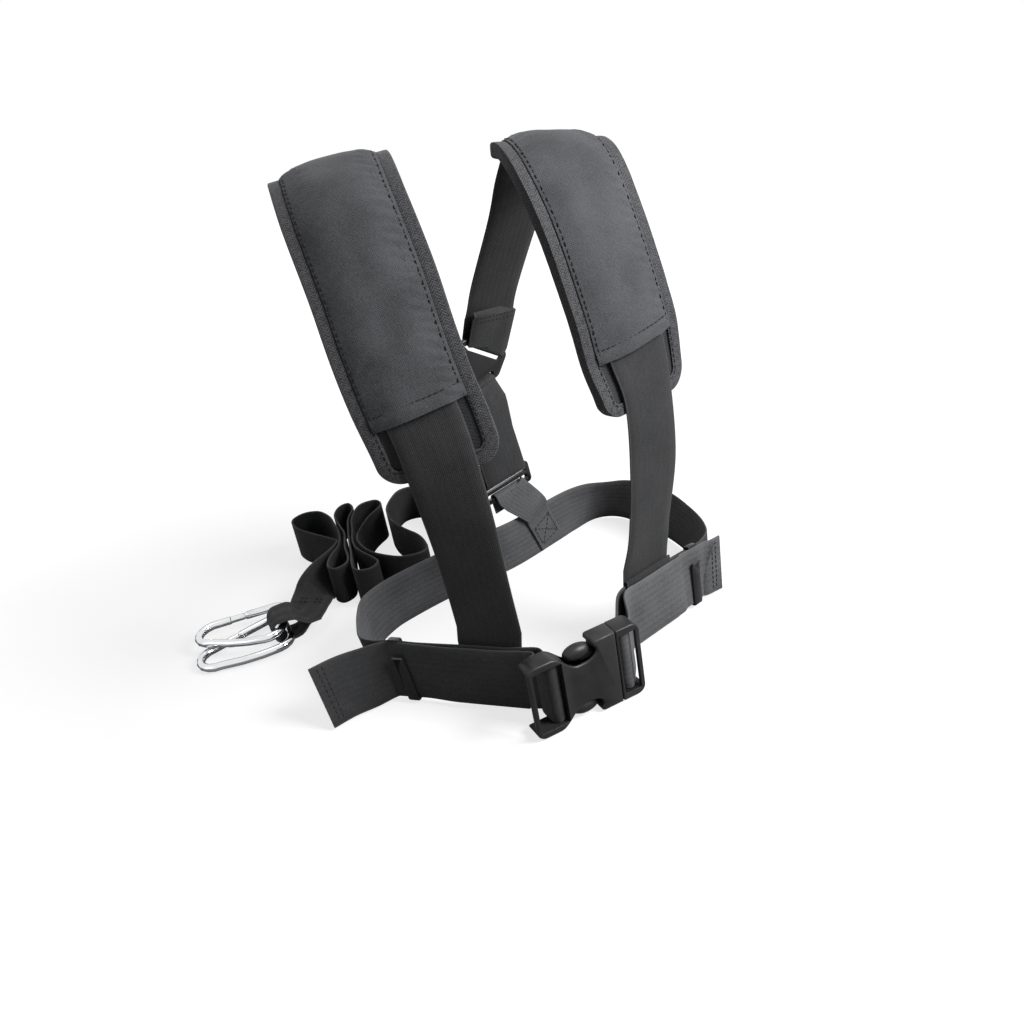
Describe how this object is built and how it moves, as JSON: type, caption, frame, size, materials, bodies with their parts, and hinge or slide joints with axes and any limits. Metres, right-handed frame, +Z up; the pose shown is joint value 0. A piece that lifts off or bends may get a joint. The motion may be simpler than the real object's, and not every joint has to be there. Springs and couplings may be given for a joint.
{
  "type": "resistance sprint trainer",
  "caption": "Shoulder and waist harness for resistance sprints, with padded shoulder straps, a side-release buckle and a looped pull strap with snap hooks.",
  "frame": {"origin": "centre of the worn part's footprint, at its base", "axes": "+Z up, from the waist belt to the shoulder pads; -Y towards the buckle at the front; +X to the image's right"},
  "size_m": [0.4657, 0.3889, 0.3925],
  "materials": {
    "webbing": "woven, matt",
    "lining_cloth": "mesh over foam, matt",
    "cover_cloth": "fine plain weave",
    "binding_tape": "herringbone tape",
    "buckle_plastic": "satin moulded",
    "gloss_black": "glossy moulded",
    "steel": "bright plated"
  },
  "bodies": {
    "harness": {"waist_belt": "webbing", "shoulder_strap_left": "webbing", "shoulder_strap_right": "webbing", "pad_lining_left": "lining_cloth", "pad_lining_right": "lining_cloth", "pad_binding_left": "binding_tape", "pad_binding_right": "binding_tape", "pad_cover_left": "cover_cloth", "pad_cover_right": "cover_cloth", "back_yoke": "gloss_black", "back_strap": "webbing", "back_slider": "gloss_black", "back_tab": "webbing", "tail_keeper_left": "gloss_black", "tail_keeper_right": "gloss_black", "buckle_female": "buckle_plastic", "buckle_male": "buckle_plastic", "pull_strap": "webbing", "hook_front": "steel", "gate_pin_front": "steel"},
    "prong_upper": {"buckle_prong_upper": "buckle_plastic"},
    "prong_lower": {"buckle_prong_lower": "buckle_plastic"},
    "gate_front": {"gate_front": "steel"},
    "hook_rear": {"hook_rear": "steel", "gate_pin_rear": "steel"},
    "gate_rear": {"gate_rear": "steel"}
  },
  "joints": [
    {"name": "prong_upper_press", "type": "hinge", "parent": "harness", "child": "prong_upper", "pos_m": [0.0571, -0.12186, 0.05114], "axis": [0.3907, -0.9205, 0], "range_deg": [0, 8], "stiffness_Nm_per_rad": 2},
    {"name": "prong_lower_press", "type": "hinge", "parent": "harness", "child": "prong_lower", "pos_m": [0.0571, -0.12186, 0.01234], "axis": [-0.3907, 0.9205, 0], "range_deg": [0, 8], "stiffness_Nm_per_rad": 2},
    {"name": "gate_front_open", "type": "hinge", "parent": "harness", "child": "gate_front", "pos_m": [-0.25569, 0.05439, 0.00534], "axis": [-0.0227, -0.0092, 0.9997], "range_deg": [0, 25], "stiffness_Nm_per_rad": 0.1},
    {"name": "hook_rear_swing", "type": "hinge", "parent": "harness", "child": "hook_rear", "pos_m": [-0.21401, 0.05022, 0.01504], "axis": [0.0349, 0.9994, 0], "range_deg": [0, 60]},
    {"name": "gate_rear_open", "type": "hinge", "parent": "hook_rear", "child": "gate_rear", "pos_m": [-0.25027, 0.07248, 0.01362], "axis": [-0.0384, 0.0013, 0.9993], "range_deg": [0, 25], "stiffness_Nm_per_rad": 0.1}
  ]
}
